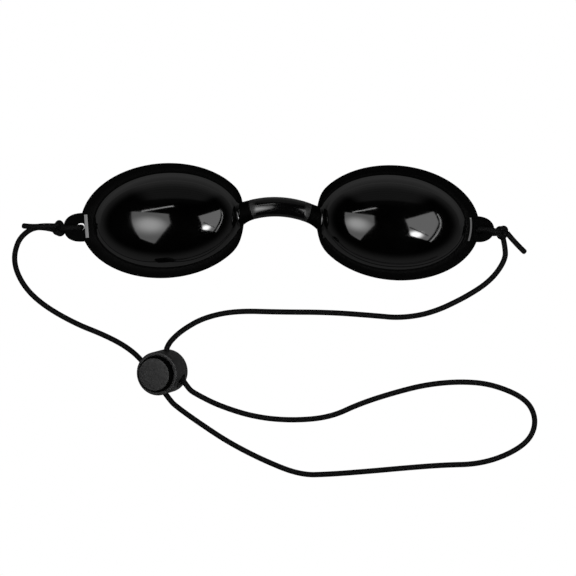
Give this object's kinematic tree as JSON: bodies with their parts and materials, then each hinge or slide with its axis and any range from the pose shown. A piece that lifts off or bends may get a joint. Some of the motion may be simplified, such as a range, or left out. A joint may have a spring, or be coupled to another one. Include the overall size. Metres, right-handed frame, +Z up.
{
  "type": "tanning goggles",
  "caption": "Small opaque eyecups joined by a flexible nose bridge, worn on a thin elastic cord that is knotted to an ear on each cup and adjusted by a two-hole spring cord lock.",
  "frame": {"origin": "midway between the middles of the two eyecups, on the flat surface that their rims lie on", "axes": "+X along the two cups to the one on the right of the picture, +Y to the wearer's forehead side, +Z up out of the domes, away from the face"},
  "size_m": [0.1843, 0.1093, 0.0171],
  "materials": {
    "cup": "gloss",
    "bridge": "gloss",
    "cord": "matte",
    "lock": "matte",
    "spring": "satin"
  },
  "bodies": {
    "left_side": {"left_eyecup": "cup", "nose_bridge": "bridge", "left_ear_hitch": "cord", "left_knot": "cord", "left_tail": "cord", "left_strand": "cord", "adjusting_loop": "cord", "right_strand_inner": "cord"},
    "right_side": {"right_eyecup": "cup", "right_ear_hitch": "cord", "right_knot": "cord", "right_tail": "cord", "right_strand_outer": "cord"},
    "lock": {"lock_body": "lock", "lock_spring": "spring"},
    "plunger": {"lock_plunger": "lock"}
  },
  "joints": [
    {"name": "bridge_flex", "type": "hinge", "parent": "left_side", "child": "right_side", "pos_m": [0, 0.0049, 0.0083], "axis": [0, 1, 0], "range_deg": [-15, 30], "stiffness_Nm_per_rad": 0.05, "deforming": ["nose_bridge", "right_strand_outer"]},
    {"name": "lock_slide", "type": "slide", "parent": "left_side", "child": "lock", "axis": [0.5446, -0.8387, 0], "range_m": [0, 0.02], "deforming": ["left_strand", "right_strand_inner", "adjusting_loop"]},
    {"name": "plunger_press", "type": "slide", "parent": "lock", "child": "plunger", "axis": [0.3333, 0.0769, -0.9397], "range_m": [0, 0.0012], "stiffness_N_per_m": 400, "springref_m": -0.004, "deforming": ["lock_spring"]}
  ]
}
